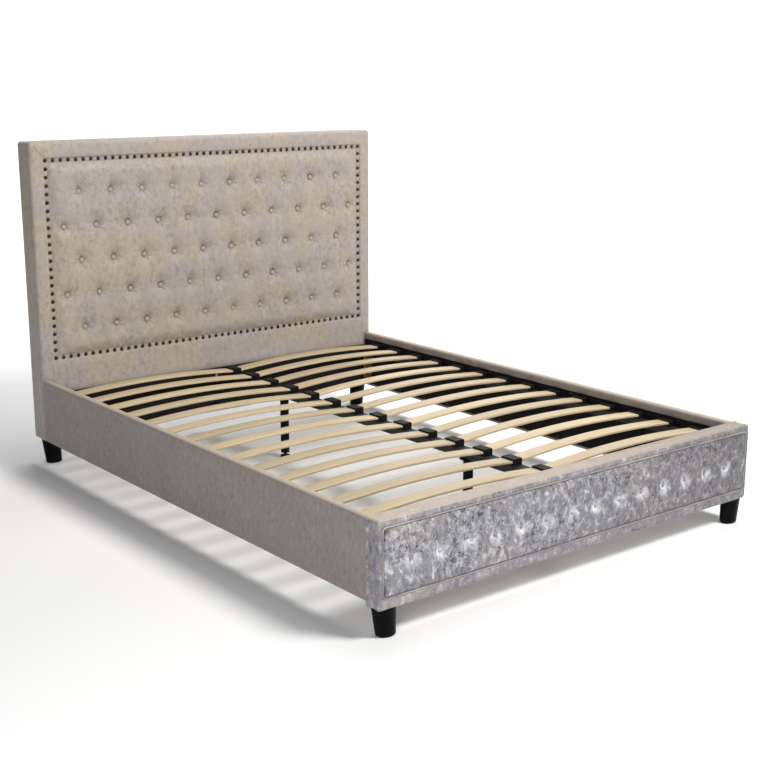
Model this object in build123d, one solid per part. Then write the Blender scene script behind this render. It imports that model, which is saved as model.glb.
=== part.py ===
from build123d import *
import os

# Upholstered bed with a tufted headboard, for a 1500 x 2000 mm mattress.
# Millimetres. +Z up, +X across the bed, the headboard at +Y and the footboard at -Y.
# The origin is on the floor, under the middle of the whole bed.

# ---- driving dimensions ----
overall_width = 1600.0
overall_length = 2196.0
headboard_height = 1250.0
headboard_thickness = 100.0
footboard_thickness = 56.0
bed_top = 345.0                # top of the footboard
footboard_bottom = 84.0
headboard_bottom = 95.0
rail_top = 343.0
rail_bottom = 98.0
rail_thickness = 29.0
rail_inset = 2.0               # rail face behind the ends of the two boards

nail_half_width = 736.0        # rectangle of nails on the headboard
nail_low = 423.0
nail_high = 1180.0
nails_across = 48
nails_up = 25
nail_radius = 7.0
nail_rise = 4.2
channel_half = 8.0             # half the width of the channel that the nails sit in
channel_depth = 6.0

head_button_radius = 11.0
head_button_rise = 8.0
head_button_pitch_x = 135.5
head_button_pitch_z = 131.5
head_button_middle_z = 795.0
head_button_rows = (10, 11, 10, 11, 10)

foot_button_radius = 9.0
foot_button_rise = 5.0
foot_button_pitch = 105.0
foot_button_count = 14
foot_button_z = 214.0

slat_rows = 14
slat_pitch = 139.0
slat_first_from_front = 185.0
slat_width = 53.0
slat_thickness = 8.0
slat_crown = 18.0              # rise of the middle of a sprung slat over its ends
slat_end_z = 292.0             # middle of the slat's thickness at its ends
slat_inner_x = 10.0
slat_outer_x = 764.0

leg_spread = 545.0             # each centre leg from the middle of the slatted length
leg_radius = 17.0
glide_gap = 12.0               # between the pad and the leg, so the glide can be screwed in
glide_pad_height = 10.0

# ---- places worked out from them ----
half_width = overall_width / 2
front = -overall_length / 2
back = overall_length / 2
headboard_front = back - headboard_thickness
footboard_back = front + footboard_thickness
rail_outer = half_width - rail_inset
rail_inner = rail_outer - rail_thickness
slatted_middle = (footboard_back + headboard_front) / 2

skin = 6.0                     # padded velvet over the boards
face_board_thickness = 6.0
border_pad = 14.0              # padding of the headboard's flat border
cloth = 3.0                    # stapled black cloth
panel_proud = 6.0              # tufted panel in front of the headboard's border

face_board_front = headboard_front + border_pad
timber_front = face_board_front + face_board_thickness
cloth_front = back - cloth

beam_width = 40.0
beam_height = 28.0
beam_top = 280.0
beam_bottom = beam_top - beam_height
holder_top = 303.0
holder_width = slat_width + 6
centre_holder_half = 20.0
side_holder_inner = 741.5
pocket_clearance = 0.3
ledge_top = 281.0
ledge_height = 29.0
cross_board_thickness = 18.0
cross_board_half = 750.0
cross_board_top = 288.0
cross_board_bottom = 104.0
cross_board_front = headboard_front - cross_board_thickness

bracket_low = 130.0
bracket_high = 250.0
bracket_steel = 3.0
bracket_long = 55.0
bracket_short = 18.0
bolt_heights = (160.0, 220.0)
bolt_head_radius = 6.0
bolt_head_height = 4.0
bolt_shank_radius = 3.0
bolt_shank_length = 22.0
hanger_steel = 4.0
hanger_half = 44.0
hanger_bolt_x = 35.0

FROM_BASE = (Align.CENTER, Align.CENTER, Align.MIN)
FACING_FRONT = Rot(X=90)       # turns a piece that points up so that it points to -Y


def block(x0, x1, y0, y1, z0, z1):
    """A box between six planes."""
    return Pos((x0 + x1) / 2, (y0 + y1) / 2, (z0 + z1) / 2) * Box(x1 - x0, y1 - y0, z1 - z0)


def upright_plate(half, low, high, corner, y0, y1):
    """A plate that stands across the bed, with rounded corners seen from the front."""
    plane = Plane(origin=(0, y1, (low + high) / 2), x_dir=(1, 0, 0), z_dir=(0, -1, 0))
    return extrude(plane * RectangleRounded(2 * half, high - low, corner), amount=y1 - y0)


def soften_front(shape, radius):
    """Round the edges of the face that looks towards -Y."""
    return fillet(shape.faces().sort_by(Axis.Y)[0].edges(), radius)


def both_sides(left):
    """A piece on the bed's left and its mirror image on the right."""
    return left, mirror(left, about=Plane.YZ)


def rounded_button(radius, rise, edge):
    """A covered button, back at z = 0, with a rounded front edge."""
    body = Cylinder(radius, rise, align=FROM_BASE)
    return fillet(body.edges().sort_by(Axis.Z)[-1], edge)


# ---- headboard ----

def head_button_places():
    """Centres of the five staggered rows of buttons, as (x, z)."""
    places = []
    middle_row = (len(head_button_rows) - 1) / 2
    for row, count in enumerate(head_button_rows):
        z = head_button_middle_z + (middle_row - row) * head_button_pitch_z
        for i in range(count):
            places.append(((i - (count - 1) / 2) * head_button_pitch_x, z))
    return places


def headboard_frame():
    """Timber frame: four outer members and two uprights between them."""
    member = 70.0
    half = half_width - skin
    low = headboard_bottom + cloth
    high = headboard_height - skin
    frame = block(-half, half, timber_front, cloth_front, low, high)
    bay = (2 * half - 4 * member) / 3
    for i in range(3):
        x = -half + member + i * (bay + member)
        frame -= block(x, x + bay, timber_front, cloth_front, low + member, high - member)
    return frame


def headboard_face_board():
    half = half_width - skin
    return block(-half, half, face_board_front, timber_front,
                 headboard_bottom + cloth, headboard_height - skin)


def headboard_border():
    """Padded velvet border that wraps the ends, the top and the bottom."""
    half = half_width - skin
    shell = upright_plate(half_width, headboard_bottom, headboard_height, 14, headboard_front, back)
    shell = soften_front(shell, 9)
    shell -= block(-half, half, face_board_front, back + 1,
                   headboard_bottom + cloth, headboard_height - skin)
    shell -= upright_plate(nail_half_width + channel_half, nail_low - channel_half,
                           nail_high + channel_half, 6,
                           headboard_front - 1, headboard_front + channel_depth)
    shell -= upright_plate(nail_half_width - channel_half, nail_low + channel_half,
                           nail_high - channel_half, 6, headboard_front - 1, face_board_front)
    return shell


def headboard_tufted_panel():
    """Padded inner panel with a pocket for each button."""
    panel_front = headboard_front - panel_proud
    panel = upright_plate(nail_half_width - channel_half, nail_low + channel_half,
                          nail_high - channel_half, 6, panel_front, face_board_front)
    panel = soften_front(panel, 5)
    pocket_depth = head_button_rise + 1
    pocket = FACING_FRONT * Cylinder(head_button_radius + 2, pocket_depth, align=FROM_BASE)
    for x, z in head_button_places():
        panel -= Pos(x, panel_front + pocket_depth, z) * pocket
    return panel


def headboard_back_cloth():
    half = half_width - skin
    return block(-half, half, cloth_front, back, headboard_bottom + cloth, headboard_height - skin)


def headboard_buttons():
    seat = headboard_front - panel_proud + head_button_rise + 1
    button = FACING_FRONT * rounded_button(head_button_radius, head_button_rise, 5)
    return Compound([Pos(x, seat, z) * button for x, z in head_button_places()])


def headboard_nails():
    """Domed upholstery nails all round the tufted panel."""
    ball = (nail_radius ** 2 + nail_rise ** 2) / (2 * nail_rise)
    dome = Pos(0, 0, nail_rise - ball) * Sphere(ball)
    dome -= Pos(0, 0, -2 * ball) * Box(4 * ball, 4 * ball, 4 * ball)
    dome = FACING_FRONT * dome
    step_x = 2 * nail_half_width / (nails_across - 1)
    step_z = (nail_high - nail_low) / (nails_up - 1)
    places = []
    for i in range(nails_across):
        x = -nail_half_width + i * step_x
        places += [(x, nail_low), (x, nail_high)]
    for i in range(1, nails_up - 1):
        z = nail_low + i * step_z
        places += [(-nail_half_width, z), (nail_half_width, z)]
    return Compound([Pos(x, headboard_front + channel_depth, z) * dome for x, z in places])


def head_cross_board():
    """Cloth-covered board across the headboard, which carries the head end of the beam."""
    return block(-cross_board_half, cross_board_half, cross_board_front, headboard_front,
                 cross_board_bottom, cross_board_top)


# ---- footboard ----

foot_window_half = 786.5
foot_window_low = 115.5
foot_window_high = 324.5
foot_window_corner = 14.0
piping_radius = 2.3
piping_groove = 5.0            # between the border and the tufted panel
foot_core_front = front + 10
foot_return = 30.0             # velvet turned over the top, down the inner face


def footboard_core():
    half = half_width - skin
    return block(-half, half, foot_core_front, footboard_back - cloth,
                 footboard_bottom + skin, bed_top - skin)


def footboard_border():
    """Velvet border, wrapped round the ends, top and bottom and a little down the inner face."""
    half = half_width - skin
    shell = upright_plate(half_width, footboard_bottom, bed_top, 9, front, footboard_back)
    shell = soften_front(shell, 8)
    shell -= block(-half, half, foot_core_front, footboard_back - cloth,
                   footboard_bottom + skin, bed_top - skin)
    shell -= block(-half, half, footboard_back - cloth, footboard_back + 1,
                   footboard_bottom + skin, bed_top - foot_return)
    shell -= upright_plate(foot_window_half, foot_window_low, foot_window_high,
                           foot_window_corner, front - 1, foot_core_front)
    return shell


def footboard_tufted_panel():
    panel_front = front + 4
    panel = upright_plate(foot_window_half - piping_groove, foot_window_low + piping_groove,
                          foot_window_high - piping_groove, foot_window_corner - piping_groove,
                          panel_front, foot_core_front)
    panel = soften_front(panel, 2)
    pocket = FACING_FRONT * Cylinder(foot_button_radius + 1.5, foot_button_rise, align=FROM_BASE)
    for x in foot_button_places():
        panel -= Pos(x, panel_front + foot_button_rise, foot_button_z) * pocket
    return panel


def foot_button_places():
    return [(i - (foot_button_count - 1) / 2) * foot_button_pitch for i in range(foot_button_count)]


def footboard_buttons():
    button = FACING_FRONT * rounded_button(foot_button_radius, foot_button_rise, 3)
    seat = front + 4 + foot_button_rise
    return Compound([Pos(x, seat, foot_button_z) * button for x in foot_button_places()])


def footboard_piping():
    """Covered cord in the groove round the footboard's panel."""
    inset = piping_groove / 2
    plane = Plane(origin=(0, foot_core_front - piping_radius, (foot_window_low + foot_window_high) / 2),
                  x_dir=(1, 0, 0), z_dir=(0, -1, 0))
    outline = plane * RectangleRounded(2 * (foot_window_half - inset),
                                       foot_window_high - foot_window_low - 2 * inset,
                                       foot_window_corner - inset)
    path = outline.wire()
    section = Plane(origin=path @ 0, z_dir=path % 0) * Circle(piping_radius)
    return sweep(section, path=path)


def footboard_lining():
    half = half_width - skin
    return block(-half, half, footboard_back - cloth, footboard_back,
                 footboard_bottom + skin, bed_top - foot_return)


# ---- side rails ----

rail_cover = 3.0
rail_cover_inner = 2.0
rail_return = 30.0             # velvet turned over the top, down the inner face
rail_hem = 10.0                # velvet turned under, up the inner face
rail_corner = 8.0


def rail_bar(outer, inner, low, high, corner):
    """A bar along the left side of the bed with rounded long edges."""
    bar = block(-outer, -inner, footboard_back, headboard_front, low, high)
    return fillet(bar.edges().filter_by(Axis.Y), corner)


def rail_board():
    return rail_bar(rail_outer - rail_cover, rail_inner + rail_cover_inner,
                    rail_bottom + rail_cover, rail_top - rail_cover, rail_corner - rail_cover)


def rail_inner_face(clearance, thickness):
    """The stretch of the left rail's inner face between the velvet's two turned edges."""
    return block(-rail_inner - rail_cover_inner, -rail_inner - rail_cover_inner + thickness,
                 footboard_back, headboard_front,
                 rail_bottom + rail_hem + clearance, rail_top - rail_return - clearance)


def rail_velvet():
    """Velvet wrapped round the rail, open on the inner face where the lining shows."""
    cover = rail_bar(rail_outer, rail_inner, rail_bottom, rail_top, rail_corner)
    cover -= rail_board()
    return cover - rail_inner_face(0, rail_cover_inner + 1)


def rail_lining():
    return rail_inner_face(0.3, rail_cover_inner)


def slat_ledge():
    """Batten on the left rail's inner face that the slat holders stand on."""
    depth = 24.0
    return block(-rail_inner, -rail_inner + depth, footboard_back + 12, cross_board_front - 4,
                 ledge_top - ledge_height, ledge_top)


# ---- slats and their holders ----

def slat_y(row):
    return front + slat_first_from_front + row * slat_pitch


def slat(clearance=0.0):
    """Sprung birch slat on the right of the bed, centred on y = 0, or the room it needs."""
    half = slat_thickness / 2 + clearance
    x0 = slat_inner_x - clearance
    x1 = slat_outer_x + clearance
    xm = (x0 + x1) / 2
    crown = slat_end_z + slat_crown
    top = ThreePointArc((x0, 0, slat_end_z + half), (xm, 0, crown + half), (x1, 0, slat_end_z + half))
    bottom = ThreePointArc((x0, 0, slat_end_z - half), (xm, 0, crown - half),
                           (x1, 0, slat_end_z - half))
    side_in = Line(bottom @ 0, top @ 0)
    side_out = Line(top @ 1, bottom @ 1)
    section = make_face([top, side_out, bottom, side_in])
    return extrude(section, amount=slat_width / 2 + clearance, both=True)


def centre_slat_holders():
    """Double pockets on the beam, one slat end in each side."""
    half = holder_width / 2
    body = block(-centre_holder_half, centre_holder_half, -half, half, beam_top, holder_top)
    body = fillet(body.edges().filter_by(Axis.Z) + body.faces().sort_by(Axis.Z)[-1].edges(), 3)
    pocket = slat(pocket_clearance)
    body -= pocket
    body -= mirror(pocket, about=Plane.YZ)
    return Compound([Pos(0, slat_y(row), 0) * body for row in range(slat_rows)])


def side_slat_holders():
    """Single pockets on the two ledges."""
    half = holder_width / 2
    body = block(side_holder_inner, rail_inner, -half, half, ledge_top, holder_top)
    body = fillet(body.faces().sort_by(Axis.Z)[-1].edges(), 3)
    body -= slat(pocket_clearance)
    solids = []
    for piece in both_sides(body):
        solids += [Pos(0, slat_y(row), 0) * piece for row in range(slat_rows)]
    return Compound(solids)


# ---- centre beam and its legs ----

def centre_beam():
    """Rectangular steel tube under the middle of the slats."""
    wall = 2.0
    half = beam_width / 2
    y0 = footboard_back + hanger_steel
    y1 = cross_board_front - hanger_steel
    tube = block(-half, half, y0, y1, beam_bottom, beam_top)
    tube -= block(-half + wall, half - wall, y0 - 1, y1 + 1, beam_bottom + wall, beam_top - wall)
    return tube


def beam_hanger():
    """Cup that holds the foot end of the beam, bolted to the footboard."""
    half = beam_width / 2
    cheek = half + hanger_steel
    seat = beam_bottom - hanger_steel
    reach = footboard_back + 44
    plate = block(-hanger_half, hanger_half, footboard_back, footboard_back + hanger_steel,
                  seat - 12, beam_top)
    cup = block(-cheek, cheek, footboard_back, reach, seat, beam_top - 4)
    cup -= block(-half, half, footboard_back + hanger_steel, reach + 1, beam_bottom, beam_top)
    hanger = plate + cup
    for x in (-hanger_bolt_x, hanger_bolt_x):
        hanger -= Pos(x, footboard_back, bolt_heights[1] + 40) * Rot(X=90) * Cylinder(3.3, 20)
    return hanger


def beam_hangers():
    foot_end = beam_hanger()
    middle = (footboard_back + cross_board_front) / 2
    head_end = mirror(foot_end, about=Plane(origin=(0, middle, 0), z_dir=(0, 1, 0)))
    return Compound([foot_end, head_end])


def leg_y(side):
    return slatted_middle + side * leg_spread


def centre_leg():
    """Post under the beam, with a flange on top and a threaded bore for its glide."""
    foot = glide_pad_height + glide_gap
    post = Pos(0, 0, foot) * Cylinder(leg_radius, beam_bottom - foot, align=FROM_BASE)
    post += Pos(0, 0, beam_bottom - 4) * Cylinder(30, 4, align=FROM_BASE)
    bore = Pos(0, 0, foot - 1) * Cylinder(5.3, 61, align=FROM_BASE)
    return post - bore


def centre_legs():
    return Compound([Pos(0, leg_y(side), 0) * centre_leg() for side in (-1, 1)])


def levelling_glide():
    """Round pad on a screw stem, turned by hand to meet the floor."""
    pad = Cylinder(19, glide_pad_height, align=FROM_BASE)
    pad = fillet(pad.edges().sort_by(Axis.Z)[0], 2)
    stem = Pos(0, 0, glide_pad_height) * Cylinder(5, 48, align=FROM_BASE)
    return pad + stem


# ---- corner feet ----

foot_x = 759.0
front_foot_y = front + 30
rear_foot_y = back - 56


def corner_foot(height):
    """Right-hand foot: oval, its outer side sloping in and its inner side upright."""
    lean = 7.0
    top = Pos(0, 0, height) * Ellipse(38, 29)
    sole = Pos(-lean, 0, 0) * Ellipse(31, 26)
    foot = loft([sole, top])
    return fillet(foot.edges().sort_by(Axis.Z)[0], 7)


def corner_feet():
    feet = []
    for y, height in ((front_foot_y, footboard_bottom), (rear_foot_y, headboard_bottom)):
        right = Pos(foot_x, y, 0) * corner_foot(height)
        feet += list(both_sides(right))
    return Compound(feet)


# ---- brackets and bolts ----

def bolt():
    """Round-headed bolt, the underside of its head at z = 0."""
    head = fillet(Cylinder(bolt_head_radius, bolt_head_height, align=FROM_BASE).edges().sort_by(Axis.Z)[-1], 2)
    shank = Pos(0, 0, -bolt_shank_length) * Cylinder(bolt_shank_radius, bolt_shank_length, align=FROM_BASE)
    return head + shank


def corner_bracket():
    """Right-hand bracket at the foot end: one leaf on the footboard, one on the rail."""
    end_leaf = block(rail_inner - bracket_short, rail_inner, footboard_back,
                     footboard_back + bracket_steel, bracket_low, bracket_high)
    rail_leaf = block(rail_inner - bracket_steel, rail_inner, footboard_back,
                      footboard_back + bracket_long, bracket_low, bracket_high)
    bracket = end_leaf + rail_leaf
    hole = Cylinder(bolt_shank_radius + 0.2, 20)
    for z in bolt_heights:
        bracket -= Pos(rail_inner - 10, footboard_back, z) * Rot(X=90) * hole
        bracket -= Pos(rail_inner, footboard_back + 38, z) * Rot(Y=90) * hole
    return bracket


def corner_bolts():
    """The four bolts of the right-hand bracket at the foot end."""
    bolts = []
    for z in bolt_heights:
        bolts.append(Pos(rail_inner - 10, footboard_back + bracket_steel, z) * Rot(X=-90) * bolt())
        bolts.append(Pos(rail_inner - bracket_steel, footboard_back + 38, z) * Rot(Y=-90) * bolt())
    return bolts


def at_four_corners(pieces):
    """Mirror pieces at the right foot corner to the other three corners."""
    across = Plane(origin=(0, slatted_middle, 0), z_dir=(0, 1, 0))
    placed = []
    for piece in pieces:
        for end in (piece, mirror(piece, about=across)):
            placed += list(both_sides(end))
    return placed


def corner_brackets():
    return Compound(at_four_corners([corner_bracket()]))


def frame_bolts():
    """Bolts of the corner brackets and of the two beam hangers."""
    bolts = at_four_corners(corner_bolts())
    for x in (-hanger_bolt_x, hanger_bolt_x):
        z = bolt_heights[1] + 40
        bolts.append(Pos(x, footboard_back + hanger_steel, z) * Rot(X=-90) * bolt())
        bolts.append(Pos(x, cross_board_front - hanger_steel, z) * Rot(X=90) * bolt())
    return Compound(bolts)


# ---- all nodes ----

def all_nodes():
    nodes = {
        "headboard_frame": headboard_frame(),
        "headboard_face_board": headboard_face_board(),
        "headboard_border": headboard_border(),
        "headboard_tufted_panel": headboard_tufted_panel(),
        "headboard_back_cloth": headboard_back_cloth(),
        "headboard_buttons": headboard_buttons(),
        "headboard_nails": headboard_nails(),
        "head_cross_board": head_cross_board(),
        "footboard_core": footboard_core(),
        "footboard_border": footboard_border(),
        "footboard_tufted_panel": footboard_tufted_panel(),
        "footboard_buttons": footboard_buttons(),
        "footboard_piping": footboard_piping(),
        "footboard_lining": footboard_lining(),
        "centre_slat_holders": centre_slat_holders(),
        "side_slat_holders": side_slat_holders(),
        "centre_beam": centre_beam(),
        "beam_hangers": beam_hangers(),
        "centre_legs": centre_legs(),
        "head_levelling_glide": Pos(0, leg_y(1), 0) * levelling_glide(),
        "foot_levelling_glide": Pos(0, leg_y(-1), 0) * levelling_glide(),
        "corner_feet": corner_feet(),
        "corner_brackets": corner_brackets(),
        "frame_bolts": frame_bolts(),
    }
    for name, left in (("rail_board", rail_board()), ("rail_cover", rail_velvet()),
                       ("rail_lining", rail_lining()), ("slat_ledge", slat_ledge())):
        nodes["left_" + name], nodes["right_" + name] = both_sides(left)
    right_slat = slat()
    left_slat = mirror(right_slat, about=Plane.YZ)
    for row in range(slat_rows):
        number = f"{row + 1:02d}"
        nodes["slat_left_" + number] = Pos(0, slat_y(row), 0) * left_slat
        nodes["slat_right_" + number] = Pos(0, slat_y(row), 0) * right_slat
    return nodes


os.makedirs("parts", exist_ok=True)
for name, shape in all_nodes().items():
    export_step(shape, os.path.join("parts", name + ".step"))
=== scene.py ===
import math
import bmesh
import bpy
import numpy as np
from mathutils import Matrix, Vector


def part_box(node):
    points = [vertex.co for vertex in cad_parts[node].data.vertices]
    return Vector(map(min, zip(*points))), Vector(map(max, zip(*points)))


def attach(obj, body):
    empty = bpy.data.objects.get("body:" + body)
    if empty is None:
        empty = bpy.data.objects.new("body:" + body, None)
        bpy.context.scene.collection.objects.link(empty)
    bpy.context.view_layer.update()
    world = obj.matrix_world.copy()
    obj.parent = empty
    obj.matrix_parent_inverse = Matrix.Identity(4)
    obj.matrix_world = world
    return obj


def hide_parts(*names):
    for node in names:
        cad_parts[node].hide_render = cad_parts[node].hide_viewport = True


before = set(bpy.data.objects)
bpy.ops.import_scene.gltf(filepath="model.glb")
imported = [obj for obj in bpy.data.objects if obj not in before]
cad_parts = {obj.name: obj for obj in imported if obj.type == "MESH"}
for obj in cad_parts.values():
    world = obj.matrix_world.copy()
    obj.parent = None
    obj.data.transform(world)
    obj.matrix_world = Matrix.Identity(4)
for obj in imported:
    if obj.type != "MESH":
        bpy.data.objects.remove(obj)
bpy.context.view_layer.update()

# Velvet bed with a button-tufted headboard. Metres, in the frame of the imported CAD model:
# the headboard at +Y, the footboard at -Y, the floor at z = 0.

BED = "bed"              # body that everything but the two levelling glides rides on
MM = 0.001


# ---- places taken from the frame

def rectangle(node):
    """Half width, lowest z and highest z of a node that is centred on x = 0."""
    low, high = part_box(node)
    return high[0], low[2], high[2]


def front_of(node):
    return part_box(node)[0][1]


def back_of(node):
    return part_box(node)[1][1]


def grown(rect, by):
    """The rectangle with every side moved out."""
    half, low, high = rect
    return half + by, low - by, high + by


head_outer = rectangle("headboard_border")
head_front = front_of("headboard_border")
head_back = back_of("headboard_border")
head_panel = rectangle("headboard_tufted_panel")
nail_radius = 7.0 * MM
piping_core = 2.3 * MM
nail_rect = grown(rectangle("headboard_nails"), -nail_radius)
nail_floor = back_of("headboard_nails")
nail_counts = (48, 25)

foot_outer = rectangle("footboard_border")
foot_front = front_of("footboard_border")
foot_back = back_of("footboard_border")
foot_panel = rectangle("footboard_tufted_panel")
foot_panel_back = back_of("footboard_tufted_panel")
piping_rect = grown(rectangle("footboard_piping"), -piping_core)

button_rows = (10, 11, 10, 11, 10)
head_buttons_box = rectangle("headboard_buttons")
head_button_radius = 11 * MM
foot_button_radius = 9 * MM
foot_button_count = 14


def head_button_places():
    """Centres of the staggered rows of buttons, as (x, z), from the box that holds them all."""
    half, low, high = grown(head_buttons_box, -head_button_radius)
    pitch_x = 2 * half / (max(button_rows) - 1)
    pitch_z = (high - low) / (len(button_rows) - 1)
    places = []
    for row, count in enumerate(button_rows):
        for i in range(count):
            places.append(((i - (count - 1) / 2) * pitch_x, high - row * pitch_z))
    return places, pitch_x, pitch_z


def foot_button_places():
    half, low, high = rectangle("footboard_buttons")
    pitch = 2 * (half - foot_button_radius) / (foot_button_count - 1)
    z = (low + high) / 2
    return [((i - (foot_button_count - 1) / 2) * pitch, z) for i in range(foot_button_count)], pitch


# ---- numbers and meshes

def smooth(t):
    t = np.clip(t, 0, 1)
    return t * t * (3 - 2 * t)


def value_noise(u, v, seed):
    """Smooth random field in two directions, one lattice cell per unit, from -1 to 1."""
    table = np.random.default_rng(seed).uniform(-1, 1, (64, 64))
    iu, iv = np.floor(u).astype(int), np.floor(v).astype(int)
    fu, fv = smooth(u - iu), smooth(v - iv)
    a = table[iu % 64, iv % 64]
    b = table[(iu + 1) % 64, iv % 64]
    c = table[iu % 64, (iv + 1) % 64]
    d = table[(iu + 1) % 64, (iv + 1) % 64]
    return (a * (1 - fu) + b * fu) * (1 - fv) + (c * (1 - fu) + d * fu) * fv


def cloud(u, v, size, seed, octaves=3):
    """Several sizes of value noise added up; size is the largest cell in metres."""
    total = 0
    for k in range(octaves):
        total = total + value_noise(u / size * 2 ** k, v / size * 2 ** k, seed + k) / 2 ** k
    return total


def make_mesh(name, points, faces, material, smooth_shading=True):
    """A closed mesh on the bed, with every face turned outwards."""
    mesh = bpy.data.meshes.new(name)
    mesh.from_pydata([tuple(p) for p in points], [], [tuple(f) for f in faces])
    mesh.update()
    obj = bpy.data.objects.new(name, mesh)
    bpy.context.scene.collection.objects.link(obj)
    if smooth_shading:
        mesh.polygons.foreach_set("use_smooth", [True] * len(mesh.polygons))
    mesh.materials.append(material)
    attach(obj, BED)
    bm = bmesh.new()
    bm.from_mesh(mesh)
    bmesh.ops.recalc_face_normals(bm, faces=bm.faces)
    bm.to_mesh(mesh)
    bm.free()
    return obj


def strip_faces(rows, columns, closed_rows, closed_columns):
    """Quads of a grid of points, row by row."""
    faces = []
    for i in range(rows if closed_rows else rows - 1):
        a, b = i * columns, ((i + 1) % rows) * columns
        for j in range(columns if closed_columns else columns - 1):
            k = (j + 1) % columns
            faces.append((a + j, a + k, b + k, b + j))
    return faces


def rim_faces(rows, columns, first):
    """Side walls between a grid of points and its copy, which starts at point number first."""
    rim = (list(range(columns)) + [i * columns + columns - 1 for i in range(1, rows)]
           + [(rows - 1) * columns + j for j in range(columns - 2, -1, -1)]
           + [i * columns for i in range(rows - 2, 0, -1)])
    return [(a, b, first + b, first + a) for a, b in zip(rim, rim[1:] + rim[:1])]


def end_caps(rows, columns):
    """The two open ends of a tube whose rows run along it, first column and last."""
    first = [i * columns for i in range(rows)]
    return [first, [i + columns - 1 for i in reversed(first)]]


def quarter(steps):
    """Sine and one-less-cosine of each step of a quarter turn, without its start."""
    angles = [math.pi / 2 * k / steps for k in range(1, steps + 1)]
    return [(math.sin(a), 1 - math.cos(a)) for a in angles]


def between(a, b, t):
    """The rectangle a share t of the way from a to b."""
    return tuple(p + (q - p) * t for p, q in zip(a, b))


def loop_points(rect, corner, across, up, per_corner):
    """Points round an upright rounded rectangle as (x, z), and how near each is to a corner's diagonal."""
    half, low, high = rect
    corners = [(half - corner, low + corner, -90), (half - corner, high - corner, 0),
               (corner - half, high - corner, 90), (corner - half, low + corner, 180)]
    counts = [up, across, up, across]
    points, diagonal = [], []
    for k, (cx, cz, start) in enumerate(corners):
        for j in range(per_corner + 1):
            angle = math.radians(start + 90 * j / per_corner)
            points.append((cx + corner * math.cos(angle), cz + corner * math.sin(angle)))
            diagonal.append(math.exp(-((j - per_corner / 2) / 1.3) ** 2))
        nx, nz, nstart = corners[(k + 1) % 4]
        angle = math.radians(nstart)
        after = (nx + corner * math.cos(angle), nz + corner * math.sin(angle))
        before = points[-1]
        for j in range(1, counts[k] + 1):
            t = j / (counts[k] + 1)
            points.append((before[0] + (after[0] - before[0]) * t, before[1] + (after[1] - before[1]) * t))
            diagonal.append(0.0)
    return np.array(points), np.array(diagonal)


def ring_piece(name, rings, material, across, up, per_corner, shape=None):
    """A closed frame-shaped piece: rings are (rectangle, corner radius, y, share of shape's displacement)."""
    rows = []
    for rect, corner, y, share in rings:
        flat, diagonal = loop_points(rect, corner, across, up, per_corner)
        depth = np.full(len(flat), y)
        if shape is not None and share:
            depth = depth + share * shape(flat[:, 0], flat[:, 1], diagonal)
        rows.append(np.column_stack([flat[:, 0], depth, flat[:, 1]]))
    columns = len(rows[0])
    return make_mesh(name, np.concatenate(rows), strip_faces(len(rows), columns, True, True), material)


def grid_piece(name, rect, spacing, height, y_back, material):
    """A closed pad: a front surface at y = height(x, z) over the rectangle, side walls and a back."""
    half, low, high = rect
    nx = int(round(2 * half / spacing)) + 1
    nz = int(round((high - low) / spacing)) + 1
    xs, zs = np.linspace(-half, half, nx), np.linspace(low, high, nz)
    gx, gz = np.meshgrid(xs, zs)
    gx, gz = gx.ravel(), gz.ravel()
    front = np.column_stack([gx, height(gx, gz), gz])
    faces = [tuple(reversed(f)) for f in strip_faces(nz, nx, False, False)]
    back = front.copy()
    back[:, 1] = y_back
    first = len(front)
    faces += [tuple(first + i for i in reversed(f)) for f in faces]
    faces += rim_faces(nz, nx, first)
    obj = make_mesh(name, np.concatenate([front, back]), faces, material)
    return obj, len(front)


def get_points(obj):
    co = np.empty(len(obj.data.vertices) * 3)
    obj.data.vertices.foreach_get("co", co)
    return co.reshape(-1, 3)


def set_points(obj, co):
    obj.data.vertices.foreach_set("co", np.ascontiguousarray(co).ravel())
    obj.data.update()


def add_modifier(obj, kind, **settings):
    modifier = obj.modifiers.new(kind.lower(), kind)
    for key, value in settings.items():
        setattr(modifier, key, value)
    return modifier


def apply_modifiers(obj):
    """Bake the modifiers into the mesh."""
    graph = bpy.context.evaluated_depsgraph_get()
    mesh = bpy.data.meshes.new_from_object(obj.evaluated_get(graph))
    obj.modifiers.clear()
    obj.data = mesh
    mesh.polygons.foreach_set("use_smooth", [True] * len(mesh.polygons))


def lathe(profile, segments):
    """Points and faces of a solid turned about local Z. The profile starts and ends on the axis."""
    points, faces = [], []
    inner = profile[1:-1]
    points.append((0, 0, profile[0][1]))
    for r, z in inner:
        for k in range(segments):
            a = 2 * math.pi * k / segments
            points.append((r * math.cos(a), r * math.sin(a), z))
    points.append((0, 0, profile[-1][1]))
    last = len(points) - 1
    for k in range(segments):
        n = (k + 1) % segments
        faces.append((0, 1 + k, 1 + n))
        faces.append((last, last - segments + n, last - segments + k))
    for i in range(len(inner) - 1):
        a, b = 1 + i * segments, 1 + (i + 1) * segments
        for k in range(segments):
            n = (k + 1) % segments
            faces.append((a + k, b + k, b + n, a + n))
    return np.array(points), faces


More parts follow.
